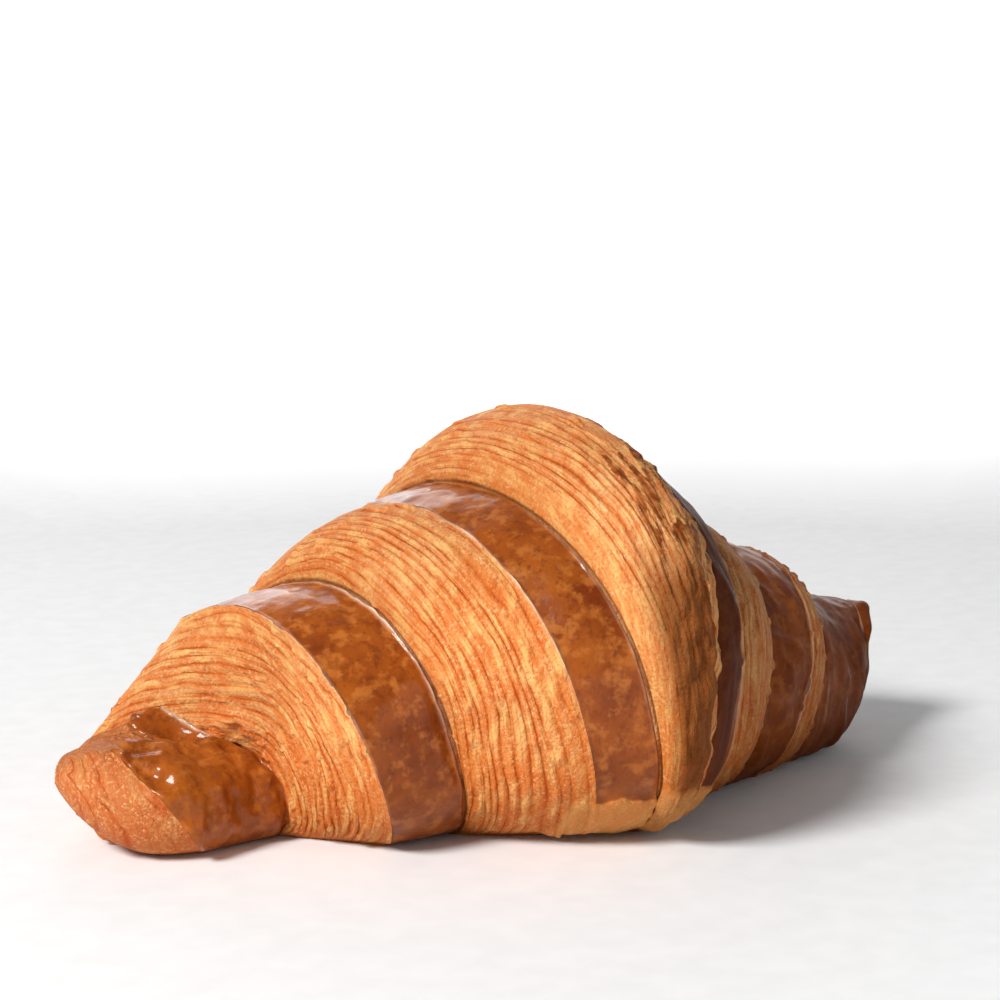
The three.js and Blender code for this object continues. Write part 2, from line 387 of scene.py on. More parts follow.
def on_band(rows, to, after=""):
    """1 on the bands of a kind, and of those only on the one after a named ledge if there is one."""
    kinds = [float(ledge["to"] == to and after in ledge["name"]) for ledge in LEDGES]
    band = rows["band"].astype(int)
    return np.where(band >= 0, np.array(kinds)[np.maximum(band, 0)], 0)


def far_end(rows):
    """1 past the last ledge."""
    return (rows["band"] >= len(LEDGES) - 1) * 1.0


def hump(value, at, reach):
    """1 at a value, falling smoothly to about 0 beyond its reach."""
    return np.exp(-(((value - at) / reach) ** 2) * 2)


def distances_from_ledges(points, rows):
    """How far each point is past each ledge, in mm along the roll's surface."""
    steps = np.linalg.norm(np.diff(points, axis=0), axis=-1)
    along = np.concatenate([np.zeros((1, steps.shape[1])), np.cumsum(steps, axis=0)])
    band = rows["band"][:, 0].astype(int)
    return {ledge["name"]: along - along[np.argmax(band == k)] for k, ledge in enumerate(LEDGES)}


def closed_seam(turn):
    """Noise read at the angle jumps where the angle wraps, so relief fades out under the base."""
    return smoothstep(178, 166, np.abs(turn))


def layer_relief(rows, turn, points):
    """(height, phase, shown, torn): the layers of the cut edges as ridges in mm, the running number of
    each layer from the near tip, how plainly they show, and where a flake has torn up."""
    near_tip = rows["band"] < 0
    layers = np.where(near_tip, NEAR_TIP_LAYERS, by_band(rows, "layers"))
    depth = np.where(near_tip, NEAR_TIP_DEPTH, by_band(rows, "depth"))
    counts = [NEAR_TIP_LAYERS] + [BANDS[ledge["to"]]["layers"] for ledge in LEDGES[:-1]] + [0]
    before = np.concatenate([[0], np.cumsum(counts)[:-1]])[rows["band"].astype(int) + 1]
    share = rows["share"]
    number = share * layers + before
    there = reading(number, turn)
    wander = sum(size * noise(there, cell, SEED + k) for k, (size, cell) in enumerate(LAYER_WANDER))
    phase = number + wander * smoothstep(0, 0.07, share) * smoothstep(1, 0.93, share) * closed_seam(turn)
    part = phase % 1
    ridge = np.sin(0.5 * math.pi * smoothstep(0, 0.75, part)) * smoothstep(1, 0.8, part)
    each_layer = reading(np.floor(phase) * 3.7, turn)
    strength = np.clip(0.6 + 1.1 * noise(each_layer, (1, 22, 1), SEED + 3), 0, 1.4)
    fade = 1 - 0.4 * smoothstep(0.55, 1, share) * (1 - on_band(rows, "fall"))
    smooth_zone = smoothstep(0.4, 0.2, share + 0.05 * noise(there, (3, 16, 1), SEED + 9))
    crown_fade = 1 - smooth_zone * smoothstep(-20, 25, turn) * 0.85
    crown_fade = crown_fade * (1 - 0.7 * smoothstep(52, 84, turn) * smoothstep(150, 128, turn))
    fade = fade * np.where(on_band(rows, "crown rise") > 0, crown_fade, 1)
    steps = np.linalg.norm(np.gradient(points, axis=0), axis=-1)
    room = steps / np.maximum(np.abs(np.gradient(number, axis=0)), 1e-6)
    shown = np.where(layers > 0, fade, 0) * closed_seam(turn) * smoothstep(LEAST_LAYER, FULL_LAYER, room)
    torn = smoothstep(0.6, 0.75, noise(there, (0.9, 4.5, 1), SEED + 4))
    torn = torn * smoothstep(0, 0.3, shown) * (1 - near_tip)
    return depth * strength * (ridge - 0.6) * shown + 0.4 * torn, phase, shown, torn


def span_crease(points, rows, angle):
    """Draws the flap straight from the nose to its corner, over the crease between them, and softens
    the folds at both ends of that straight part."""
    spanned = points.copy()
    share = rows["share"][:, 0]
    flap, slope = on_band(rows, "flap")[:, 0] > 0, on_band(rows, "slope")[:, 0] > 0
    starts = np.interp(angle, SPAN_ANGLES, SPAN_STARTS)
    ends = np.interp(angle, SPAN_ANGLES, SPAN_ENDS)
    for j in range(COLUMNS):
        first = np.argmax(flap & (share >= starts[j]))
        last = np.argmax(slope & (share >= ends[j]))
        if 0 < first < last:
            along = np.linspace(0, 1, last - first + 1)[:, None]
            spanned[first : last + 1, j] = points[first, j] + (points[last, j] - points[first, j]) * along
    share = rows["share"]
    soft = on_band(rows, "flap") * smoothstep(0, 0.25, share) + on_band(rows, "slope") * (share < 0.16)
    soft = soft * smoothstep(SPAN_ANGLES[0], SPAN_ANGLES[1], angle) * smoothstep(24, 8, angle)
    start = np.argmax(soft.any(axis=1))
    stop = len(soft) - np.argmax(soft.any(axis=1)[::-1])
    part, soft = spanned[start - 1 : stop + 1], 0.25 * soft[start:stop, :, None]
    for _ in range(SOFTENING_STEPS):
        part[1:-1] += soft * (part[:-2] - 2 * part[1:-1] + part[2:])
    return spanned


def flap_masks(rows, turn, points):
    """(flap, corner, rim): where the wound-over flap lies on the nose, its pointed corner on the slope
    behind, and the corner's rim."""
    ragged = noise(points, 3.4, SEED + 12) * 2.2 + noise(points, 1.2, SEED + 13) * 0.8
    edge_angle = np.interp(rows["share"], FLAP_EDGE_SHARES, FLAP_EDGE_ANGLES) + ragged
    flap = on_band(rows, "flap") * smoothstep(-3, 1.5, turn - edge_angle)
    reach = np.interp(turn, CORNER_ANGLES, CORNER_SHARES)
    slope = on_band(rows, "slope") * (reach > 0) * smoothstep(*CORNER_SIDE, turn + 0.15 * ragged)
    reach = reach + 0.004 * ragged
    corner = slope * smoothstep(0.008, -0.012, rows["share"] - reach)
    rim = slope * np.exp(-(((rows["share"] - reach + 0.015) / 0.012) ** 2))
    return flap, corner, rim


def flap_relief(rows, turn, points, flap, corner, rim):
    """(height, near): how far the flap, its corner and the blisters beside it stand out, and where
    those blisters are."""
    spanned = ((turn > CORNER_SIDE[0]) & (turn < CORNER_ANGLES[-1])) * 1.0
    lifted = flap * FLAP_THICKNESS * np.maximum(smoothstep(1, 0.9, rows["share"]), spanned)
    near = hump(rows["share"], BLISTERS["share"], BLISTERS["share_reach"])
    near = near * hump(turn, BLISTERS["angle"], BLISTERS["angle_reach"])
    near = near * on_band(rows, "slope") * (1 - corner)
    bubbles = 0.4 + np.abs(noise(points, 4.4, SEED + 15)) + 0.4 * noise(points, 2.0, SEED + 16)
    stand = FLAP_THICKNESS + (CORNER_THICKNESS - FLAP_THICKNESS) * smoothstep(0, 0.2, rows["share"])
    return lifted + corner * stand + near * bubbles * BLISTERS["rise"] + 0.35 * rim, near


def lip_relief(distances, turn, points):
    """(height, pale, dark, foot): thin lips along the ledges, the narrow gap where a wrap goes under the
    next, how pale and dark they are, and how near a point is to the foot of a riser. The pale is partly the
    lips' pale cut edge and partly a painted highlight; the dark and the foot are painted shade in the
    crease."""
    height, pale, dark, riser_base_shade = (np.zeros(turn.shape) for _ in range(4))
    uneven = 0.72 + 0.4 * noise(points, 7, SEED + 20) + 0.4 * noise(points, 1.8, SEED + 21)
    for name, lip in LIPS.items():
        side = -1 if name.startswith("far") else 1
        bead = np.exp(-(((distances[name] * side + 0.5 * LIP_WIDTH) / LIP_WIDTH) ** 2))
        shown = hump(np.abs(turn), lip["at"], lip["reach"]) * np.clip(uneven, 0, 1)
        height = height + lip["rise"] * bead * (0.4 + 0.6 * shown) * uneven
        pale = np.maximum(pale, lip["pale"] * bead**1.6 * shown)
    for ledge in LEDGES:
        name = ledge["name"]
        if name.endswith("crease") and not name.startswith("near nose"):
            past = distances[name] * (-1 if name.startswith("far") else 1)
            shaded_groove = np.exp(-(((past - GAP_WIDTH) / GAP_WIDTH) ** 2))
            height = height - GAP_DEPTH * shaded_groove
            dark = np.maximum(dark, shaded_groove)
            riser_base_shade = np.maximum(riser_base_shade, (past > 0) * np.exp(-np.maximum(past, 0) / FOOT_REACH))
    return height, pale, dark, riser_base_shade


def crown_relief(rows, turn, points):
    """(height, where, plates): flakes, blisters and a rough ridge on the crown's side and thin glossy
    plates at its upper edge, with where these are."""
    rise, top = on_band(rows, "crown rise"), on_band(rows, "crown")
    share = rows["share"]
    across = reading(rows["place"], turn, rows["band"])
    where = rise * smoothstep(0.3, 0.5, share) * smoothstep(48, 74, turn) + top * smoothstep(20, 50, turn)
    where = where * smoothstep(136, 120, turn)
    blister = 0.75 * np.abs(noise(across, (1.7, 9, 1), SEED + 30))
    blister = blister + 0.45 * noise(across, (0.9, 4, 1), SEED + 31)
    scale = 0.55 * np.maximum(noise(points, (1.6, 1.6, 2.6), SEED + 32), 0) ** 0.5
    ridge_share = np.interp(turn, RIDGE_ANGLES, RIDGE_SHARES)
    above = share - (ridge_share + 0.03 * noise(across, (5, 5, 1), SEED + 33))
    ridge = rise * smoothstep(-0.02, 0.03, above) * smoothstep(66, 80, turn)
    ridge = ridge * smoothstep(126, 114, turn) * smoothstep(0.5, 0.15, above)
    zone = rise * smoothstep(0.5, 0.68, share) + top
    zone = zone * smoothstep(16, 34, turn) * smoothstep(80, 60, turn)
    slanted = reading(rows["place"] + turn * 0.09, turn)
    streaks = noise(slanted, (1.5, 13, 1), SEED + 34) + 0.5 * noise(slanted, (0.7, 6, 1), SEED + 35)
    plates = zone * smoothstep(0.1, 0.3, streaks)
    height = where * (blister + scale) + RIDGE_RISE * ridge + PLATE_RISE * plates
    return height, np.maximum(where, 0.6 * zone), plates


def tail_relief(rows, turn, points):
    """(height, tail): the lumpy lip of the strip's end along the base, and where it is."""
    border = TAIL_LIP["above"] + 2.4 * noise(points, 6, SEED + 40) + 1.2 * noise(points, 2, SEED + 41)
    along = smoothstep(TAIL_LIP["from_place"] - 2.5, TAIL_LIP["from_place"], rows["place"])
    along = along * smoothstep(TAIL_LIP["to_place"] + 2.5, TAIL_LIP["to_place"], rows["place"])
    tail = smoothstep(-1, 1, turn - border) * along
    lumps = 1 + 0.5 * noise(points, 3.5, SEED + 42) + 0.35 * noise(points, 1.5, SEED + 43)
    return tail * TAIL_LIP["rise"] * lumps * smoothstep(170, 150, turn), tail


def dent_relief(rows, turn, points, glaze, wound):
    """Shallow dents all over, deeper ones in the wound-over flap, and the wrinkles of the far wraps."""
    dents = rough(points, 11, SEED + 5, 2) * 0.34 + rough(points, 3.6, SEED + 6, 2) * 0.17 * glaze
    dents = dents * (0.4 + 0.6 * glaze)
    dents = dents + wound * rough(points, (5.5, 5.5, 8), SEED + 8, 3) * FLAP_DENTS
    puff = np.sin(np.pi * rows["share"]) * on_band(rows, "terrace") * 0.5
    far_wraps = np.maximum(on_band(rows, "crown fall"), on_band(rows, "terrace", "far")) + far_end(rows)
    wrinkles = far_wraps * rough(reading(rows["place"], turn), (2.6, 24, 1), SEED + 7, 2) * 0.34
    return dents + puff + wrinkles


def browned_and_shaded(rows, turn, points, glaze, flaked):
    """How much darker than the rest the crust is: partly baked darker, partly painted shade
    on the far half and on the crown's side and fall.
    """
    place, share, height = rows["place"], rows["share"], points[..., 2]
    riser = smoothstep(0.05, 0.45, share)
    parts = {
        "crest": smoothstep(0.35, 0.95, np.cos(np.radians(turn))) * (1 - glaze),
        "far half": smoothstep(3, 24, place),
        "far end": smoothstep(50, 78, place),
        "flakes": flaked,
        "crown side": on_band(rows, "crown rise") * riser * smoothstep(46, 82, turn),
        "front foot": smoothstep(16, 2, height) * smoothstep(-60, -40, place),
        "crown fall": on_band(rows, "crown fall"),
        "second glazed band": on_band(rows, "terrace", "near second") * smoothstep(25, 45, height),
    }
    return np.clip(sum(BROWNING_AND_SHADE[name] * part for name, part in parts.items()), 0, 1)


def ruddier_and_shaded(rows, turn, points):
    """How much warmer than the rest the crust's colour is: on the crest, low down and on one riser. It is
    partly a baked tone and partly painted shade.
    """
    crest = smoothstep(0.6, 1, np.cos(np.radians(turn)))
    second_rise = on_band(rows, "rise", "near first") * smoothstep(20, 50, turn)
    return np.max([0.6 * crest, smoothstep(40, 8, points[..., 2]), 0.75 * second_rise], axis=0)


def build_crust():
    """(vertices, row count, flags): the crust's points, and a number at each of them for each use that
    the material makes of it."""
    angle = -180 + 360 * np.arange(COLUMNS) / COLUMNS
    rows = roll_rows(angle)
    points = section_points(rows, angle)
    turn = np.broadcast_to(angle, rows["share"].shape)
    low, high = points.min((0, 1)), points.max((0, 1))
    points = points - (low + high) / 2 * np.array([1, 1, 0])
    distances = distances_from_ledges(points, rows)
    points = span_crease(points, rows, angle)
    normals = surface_normals(points)
    layers, phase, layered, torn = layer_relief(rows, turn, points)
    flap, corner, rim = flap_masks(rows, turn, points)
    flap_height, blistered = flap_relief(rows, turn, points, flap, corner, rim)
    lips, pale, crease_shade, riser_base_shade = lip_relief(distances, turn, points)
    crown, flaked, plates = crown_relief(rows, turn, points)
    tail_height, tail = tail_relief(rows, turn, points)

    nose_side = on_band(rows, "flap") * (1 - flap)
    glaze = np.where(on_band(rows, "flap") > 0, flap, by_band(rows, "glaze"))
    partly = [0.56 * blistered, 0.85 * far_end(rows), 0.6 * plates, 0.3 * torn]
    glaze = np.max([glaze, corner, *partly], axis=0)
    glaze = glaze * (1 - tail) * np.maximum(smoothstep(172, 160, np.abs(turn)), far_end(rows))
    phase = np.where(nose_side > 0.5, turn / 4.6 + 0.6 * noise(points, 9, SEED + 50), phase)
    layered = np.maximum(layered * (1 - corner), nose_side * 0.6)

    relief = layers * (1 - corner) + lips + flap_height + crown * (1 - tail) + tail_height
    relief = relief + dent_relief(rows, turn, points, glaze, np.maximum(flap, corner))
    relief = relief * smoothstep(0.2, 2.5, points[..., 2])
    for spot in (PINCH, NEAR_FOLD, NUB):
        there = hump(rows["place"], spot["place"], spot["place_reach"])
        relief = relief + spot["rise"] * there * hump(turn, spot["angle"], spot["angle_reach"])
    moved = points + normals * relief[..., None]
    moved[..., 2] = np.maximum(moved[..., 2], 0)
    vertices = np.concatenate([moved[:1].mean(axis=1), moved.reshape(-1, 3), moved[-1:].mean(axis=1)])

    flags = dict(
        glaze=glaze,
        phase=phase,
        layered=layered,
        # Painted shade in the creases.
        crease=crease_shade,
        riser_base_shade=riser_base_shade * (1 - glaze),
        # The lips' pale is partly a painted highlight on their rims.
        lip=np.maximum(pale, 0.6 * rim),
        browning_and_shade=browned_and_shaded(rows, turn, points, glaze, flaked),
        ruddy_and_shade=ruddier_and_shaded(rows, turn, points),
        top=smoothstep(0.55, 0.9, np.cos(np.radians(turn))),
        end=np.maximum(nose_side, rows["band"] < 0),
        tail=tail,
        arc=np.cumsum(np.linalg.norm(points - np.roll(points, 1, axis=1), axis=-1), axis=1),
    )
    return vertices, moved.shape[0], flags


def grid_faces(row_count):
    """Triangles at the two ends and quads between them, facing out."""
    i, j = np.meshgrid(np.arange(row_count - 1), np.arange(COLUMNS), indexing="ij")
    after = (j + 1) % COLUMNS
    a, b = 1 + i * COLUMNS + j, 1 + i * COLUMNS + after
    quads = np.stack([a, b, b + COLUMNS, a + COLUMNS], axis=-1).reshape(-1, 4)
    ring = np.arange(COLUMNS)
    last = 1 + (row_count - 1) * COLUMNS
    far = last + COLUMNS
    near_fan = np.stack([np.zeros(COLUMNS, int), 1 + (ring + 1) % COLUMNS, 1 + ring], axis=-1)
    far_fan = np.stack([np.full(COLUMNS, far), last + ring, last + (ring + 1) % COLUMNS], axis=-1)
    return near_fan.tolist() + quads.tolist() + far_fan.tolist()


def new_mesh(name, vertices, faces):
    """A smooth mesh object from points in millimetres."""
    mesh = bpy.data.meshes.new(name)
    mesh.from_pydata((vertices * MM).tolist(), [], faces)
    mesh.update()
    mesh.shade_smooth()
    thing = bpy.data.objects.new(name, mesh)
    bpy.context.scene.collection.objects.link(thing)
    return thing


def add_attribute(thing, name, values):
    """A number at each vertex. Each end point takes that of its ring."""
    values = np.asarray(values, np.float32)
    flat = np.concatenate([values[0, :1], values.ravel(), values[-1, :1]])
    attribute = thing.data.attributes.new(name, "FLOAT", "POINT")
    attribute.data.foreach_set("value", flat.astype(np.float32))


class Nodes:
    """A short way to write a material's nodes. Each call adds one node and returns its output."""

    def __init__(self, name):
        self.material = bpy.data.materials.new(name)
        self.material.use_nodes = True
        self.tree = self.material.node_tree
        self.shader = self.tree.nodes["Principled BSDF"]

    def join(self, value, socket):
        """Links an output to a socket, or sets the socket to a plain value."""
        if isinstance(value, bpy.types.NodeSocket):
            self.tree.links.new(value, socket)
        else:
            socket.default_value = value

    def shade(self, name, value):
        self.join(value, self.shader.inputs[name])

    def attribute(self, name):
        node = self.tree.nodes.new("ShaderNodeAttribute")
        node.attribute_name = name
        return node.outputs["Fac"]

    def combine(self, x, y, z=0.0):
        node = self.tree.nodes.new("ShaderNodeCombineXYZ")
        for socket, value in zip(node.inputs, (x, y, z)):
            self.join(value, socket)
        return node.outputs["Vector"]

    def add(self, a, b):
        node = self.tree.nodes.new("ShaderNodeVectorMath")
        node.operation = "ADD"
        self.join(a, node.inputs[0])
        self.join(b, node.inputs[1])
        return node.outputs["Vector"]

    def place(self):
        """The point of the surface in millimetres."""
        coordinates = self.tree.nodes.new("ShaderNodeTexCoord")
        mapping = self.tree.nodes.new("ShaderNodeMapping")
        mapping.inputs["Scale"].default_value = [1 / MM] * 3
        self.tree.links.new(coordinates.outputs["Object"], mapping.inputs["Vector"])
        return mapping.outputs["Vector"]

    def noise(self, vector, size, detail=3, roughness=0.55):
        node = self.tree.nodes.new("ShaderNodeTexNoise")
        self.join(vector, node.inputs["Vector"])
        node.inputs["Scale"].default_value = 1 / size
        node.inputs["Detail"].default_value = detail
        node.inputs["Roughness"].default_value = roughness
        return node.outputs["Fac"]

    def math(self, operation, a, b=0.0):
        node = self.tree.nodes.new("ShaderNodeMath")
        node.operation = operation
        self.join(a, node.inputs[0])
        self.join(b, node.inputs[1])
        return node.outputs["Value"]

    def product(self, *values):
        total = values[0]
        for value in values[1:]:
            total = self.math("MULTIPLY", total, value)
        return total

    def spread(self, value, low, high, to_low=0.0, to_high=1.0, smooth=False):
        """value from low to high, brought to the range from to_low to to_high."""
        node = self.tree.nodes.new("ShaderNodeMapRange")
        node.interpolation_type = "SMOOTHSTEP" if smooth else "LINEAR"
        self.join(value, node.inputs["Value"])
        sockets = ("From Min", "From Max", "To Min", "To Max")
        for socket, number in zip(sockets, (low, high, to_low, to_high)):
            node.inputs[socket].default_value = number
        return node.outputs["Result"]

    def blend(self, share, a, b):
        """The colour a share of the way from a to b."""
        node = self.tree.nodes.new("ShaderNodeMix")
        node.data_type = "RGBA"
        self.join(share, node.inputs["Factor"])
        for name, value in (("A", a), ("B", b)):
            socket = [s for s in node.inputs if s.name == name and s.type == "RGBA"][0]
            self.join(value, socket)
        return [s for s in node.outputs if s.type == "RGBA"][0]

    def bump(self, height, distance, below=None):
        """A normal bent by a height of some millimetres, on top of the one below."""
        node = self.tree.nodes.new("ShaderNodeBump")
        node.inputs["Strength"].default_value = 1
        node.inputs["Distance"].default_value = distance * MM
        self.join(height, node.inputs["Height"])
        if below is not None:
            self.join(below, node.inputs["Normal"])
        return node.outputs["Normal"]


def colour(red, green, blue):
    """A colour given as 0-255 screen values, as the linear RGBA that a shader takes."""
    linear = [((c / 255 + 0.055) / 1.055) ** 2.4 if c > 10 else c / 255 / 12.92 for c in (red, green, blue)]
    return (*linear, 1)


# The tones of the pale crust and of the glaze, as screen values. After the first two of each, which
# blend into its ground, each is laid over those before it.
PALE_TONES = {
    "layer": (245, 170, 100),
    # A painted highlight on the tops of the layers' ridges.
    "ridge highlight": (255, 210, 146),
    "patch": (228, 138, 70),
    # Partly a baked tone, partly painted shade low down and on one riser.
    "ruddy_and_shade": (211, 110, 30),
    # Painted shade beside each gap between layers.
    "shade_beside_groove": (216, 108, 38),
    "blotch": (220, 108, 44),
    "bright blotch": (254, 204, 124),
    "streak": (208, 102, 42),
    # Painted shade at the foot of each riser, beside its crease.
    "riser_base_shade": (188, 114, 44),
    "end": (186, 106, 62),
    "grain": (200, 98, 40),
    "pore": (192, 92, 38),
    "bright pore": (255, 214, 156),
    # Painted shade in the gaps between layers.
    "thin shaded groove": (192, 86, 30),
    "shaded_groove": (184, 78, 24),
    # Baked darker in places, and painted shade on the far half and the crown's side and fall.
    "browned_and_shaded": (112, 54, 12),
    "tail": (204, 142, 80),
}
GLAZE_TONES = {
    "deep": (120, 49, 10),
    "amber": (155, 75, 19),
    "patch": (178, 98, 26),
    "pale spot": (196, 116, 50),
    "dark spot": (92, 34, 8),
    "streak": (170, 88, 30),
    # Partly a baked tone, partly painted shade low down and on one riser.
    "ruddy_and_shade": (182, 96, 24),
    # Baked darker in places, and painted shade on the far half and the crown's side and fall.
    "browned_and_shaded": (62, 20, 4),
}
# Painted shade in the creases where a wrap goes under the next.
CREASE_SHADE_TONE = (84, 36, 8)
# Partly the lips' pale cut edge, partly a painted highlight on their rims.
LIP_AND_HIGHLIGHT_TONE = (255, 226, 196)

# The width of a gap between layers as a share of a layer, how many finer lines each layer shows, and the
# width of the gaps between those.
GAP_SHARE = 0.13
THIN_LAYERS = 2.7
THIN_GAP_SHARE = 0.26


def layer_edge(n, phase, here, finer=1.0):
    """(edge, strength): how far a point is from the nearest gap between layers, in layers, and how
    plainly that gap shows, which fades in and out along it."""
    running = n.math("MULTIPLY", phase, finer)
    key = n.math("ROUND", running)
    edge = n.math("ABSOLUTE", n.math("SUBTRACT", running, key))
    far_off = n.combine(n.product(key, 37.0), n.product(key, 17.0), n.product(key, 29.0))
    return edge, n.spread(n.noise(n.add(here, far_off), 8, 2), 0.37, 0.58)


def laid_over(n, ground, tones, shares):
    """The ground with each tone laid over it by its share."""
    for name, share in shares.items():
        ground = n.blend(share, ground, colour(*tones[name]))
    return ground


def crust_material():
    """Pale crust with layers where there is no glaze, and brown glaze with a soft gloss."""
    n = Nodes("crust")
    glaze, phase, layered = n.attribute("glaze"), n.attribute("phase"), n.attribute("layered")
    crease, riser_base_shade, lip = n.attribute("crease"), n.attribute("riser_base_shade"), n.attribute("lip")
    browning_and_shade, ruddy_and_shade, end = n.attribute("browning_and_shade"), n.attribute("ruddy_and_shade"), n.attribute("end")
    tail, arc, top = n.attribute("tail"), n.attribute("arc"), n.attribute("top")
    here = n.place()
    large = n.noise(here, 12, 1)
    middle = n.noise(here, 3.0, 3, 0.6)
    pores = n.noise(here, 0.6, 2, 0.7)
    cloud = n.noise(here, 6.5, 3, 0.5)
    grain = n.noise(n.combine(n.product(phase, 1.5), n.product(arc, 0.55)), 0.9, 2, 0.6)
    blotch = n.noise(n.combine(n.product(phase, 1.1), n.product(arc, 0.34)), 1.7, 1, 0.5)
    streak = n.noise(n.combine(n.product(phase, 1.6), n.product(arc, 0.12)), 0.8, 3, 0.6)
    grainy = n.spread(middle, 0.4, 0.62, 0.35, 1)
    edge, strength = layer_edge(n, phase, here)
    # The gaps between layers are painted dark, and the layer darkens towards them: painted shade in the
    # recesses.
    shaded_groove = n.product(n.spread(edge, 0, GAP_SHARE, 1, 0, True), strength, layered)
    shade_beside_groove = n.product(n.spread(edge, 0, 0.5, 1, 0, True), strength, layered)
    # The middle of each layer is painted paler: a painted highlight on its ridge.
    ridge = n.product(n.spread(edge, 0, 0.5, 0, 1, True), layered)
    edge, strength = layer_edge(n, phase, here, THIN_LAYERS)
    thin_shaded_groove = n.product(n.spread(edge, 0, THIN_GAP_SHARE, 1, 0, True), strength, layered)

    pale = n.blend(ridge, colour(*PALE_TONES["layer"]), colour(*PALE_TONES["ridge highlight"]))
    pale_shares = {
        "patch": n.spread(large, 0.44, 0.64, 0, 0.35),
        # Partly a baked tone, partly painted shade low down and on one riser.
        "ruddy_and_shade": n.product(ruddy_and_shade, 0.78),
        "shade_beside_groove": n.product(shade_beside_groove, 0.58),
        "blotch": n.spread(blotch, 0.5, 0.62, 0, 0.4),
        "bright blotch": n.spread(blotch, 0.48, 0.36, 0, 0.5),
        "streak": n.spread(streak, 0.5, 0.66, 0, 0.34),
        # Painted shade at the foot of each riser, beside its crease.
        "riser_base_shade": n.product(riser_base_shade, 0.6),
        "end": n.product(end, 0.7),
        "grain": n.spread(grain, 0.53, 0.66, 0, 0.45),
        "pore": n.product(n.spread(pores, 0.52, 0.68, 0, 0.45), grainy),
        "bright pore": n.product(n.spread(pores, 0.47, 0.33, 0, 0.5), grainy),
        # Painted shade in the gaps between layers.
        "thin shaded groove": n.product(thin_shaded_groove, 0.5),
        "shaded_groove": n.product(shaded_groove, 0.85),
        # Baked darker in places, and painted shade on the far half and the crown's side and fall.
        "browned_and_shaded": n.product(browning_and_shade, 0.9),
        "tail": n.product(tail, 0.6),
    }
    pale = laid_over(n, pale, PALE_TONES, pale_shares)
    dark = n.spread(cloud, 0.36, 0.62)
    dark = n.blend(dark, colour(*GLAZE_TONES["deep"]), colour(*GLAZE_TONES["amber"]))
    glaze_shares = {
        "patch": n.spread(large, 0.5, 0.64, 0, 0.3),
        "pale spot": n.spread(n.noise(here, 2.8, 3, 0.6), 0.5, 0.64, 0, 0.62),
        "dark spot": n.spread(n.noise(here, 1.9, 2, 0.7), 0.52, 0.66, 0, 0.5),
        "streak": n.spread(streak, 0.5, 0.3, 0, 0.3),
        # Partly a baked tone, partly painted shade low down and on one riser.
        "ruddy_and_shade": n.product(ruddy_and_shade, 0.22),
        # Baked darker in places, and painted shade on the far half and the crown's side and fall.
        "browned_and_shaded": n.product(browning_and_shade, 0.85),
    }
    dark = laid_over(n, dark, GLAZE_TONES, glaze_shares)
    uneven = n.math("ADD", glaze, n.spread(n.math("ADD", middle, streak), 0.7, 1.3, -0.2, 0.2))
    uneven = n.spread(uneven, 0.34, 0.66, 0, 1, True)
    crust = n.blend(uneven, pale, dark)
    # The creases are painted dark: painted shade where a wrap goes under the next.
    crust = n.blend(n.product(crease, 0.75), crust, colour(*CREASE_SHADE_TONE))
    # The lips are painted pale: partly their pale cut edge, partly a painted highlight on their rims.
    n.shade("Base Color", n.blend(n.product(lip, 0.9), crust, colour(*LIP_AND_HIGHLIGHT_TONE)))

    dull = n.math("ADD", n.spread(uneven, 0, 1, 0.55, 0.34), n.product(uneven, browning_and_shade, 0.3))
    n.shade("Roughness", n.math("ADD", dull, n.product(lip, 0.15)))
    glints = n.noise(n.combine(n.product(arc, 0.16), n.product(phase, 0.4), n.product(large, 2.0)), 0.7, 2)
    gloss = n.math("MAXIMUM", n.spread(browning_and_shade, 0.2, 0.6, 0.4, 0), n.spread(glints, 0.62, 0.7, 0, 0.4))
    n.shade("Coat Weight", n.product(uneven, n.math("MAXIMUM", gloss, n.product(top, 0.3))))
    n.shade("Coat Roughness", 0.12)
    n.shade("Specular IOR Level", 0.08)
    n.shade("IOR", 1.45)
    matte = n.spread(glaze, 0.3, 0.7, 1, 0.12)
    bumps = n.bump(middle, 0.3)
    bumps = n.bump(n.product(n.math("ADD", pores, n.product(grain, 0.9)), matte), 0.34, bumps)
    n.shade("Normal", n.bump(n.product(shaded_groove, -1.0), 0.1, bumps))
    return n.material


# The croissant.
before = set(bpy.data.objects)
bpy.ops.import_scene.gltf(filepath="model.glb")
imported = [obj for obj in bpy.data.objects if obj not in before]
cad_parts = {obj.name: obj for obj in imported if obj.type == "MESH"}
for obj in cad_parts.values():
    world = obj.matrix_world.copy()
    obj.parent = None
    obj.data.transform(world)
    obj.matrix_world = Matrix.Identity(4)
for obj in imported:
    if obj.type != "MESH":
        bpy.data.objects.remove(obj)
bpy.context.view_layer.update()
vertices, row_count, flags = build_crust()
crust = new_mesh("croissant_crust", vertices, grid_faces(row_count))
for name, values in flags.items():
    add_attribute(crust, name, values)
crust.data.materials.append(crust_material())
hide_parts("croissant")
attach(crust, "root")


# The studio, in metres: a pale floor that turns up into a wall all round. On the side towards the
# backdrop it glows white, fading in over a radius, over a height and over how far a point faces it.
FLOOR_RINGS = (0.3, 0.6, 0.8, 1.0)
FLOOR_RADIUS = 1.3
FLOOR_COLUMNS = 96
FLOOR_GREYS = (238, 242)
WALL_RADIUS = 2.2
WALL_HEIGHT = 1.8
WALL_ROWS = 16
WALL_GLOW = 0.9
GLOW_RADIUS = (0.3, 0.8)
GLOW_HEIGHT = (1.0, 0.6)
GLOW_FACING = (0.8, 0.97)
BACKDROP_TOWARDS = (0.545, 0.838)


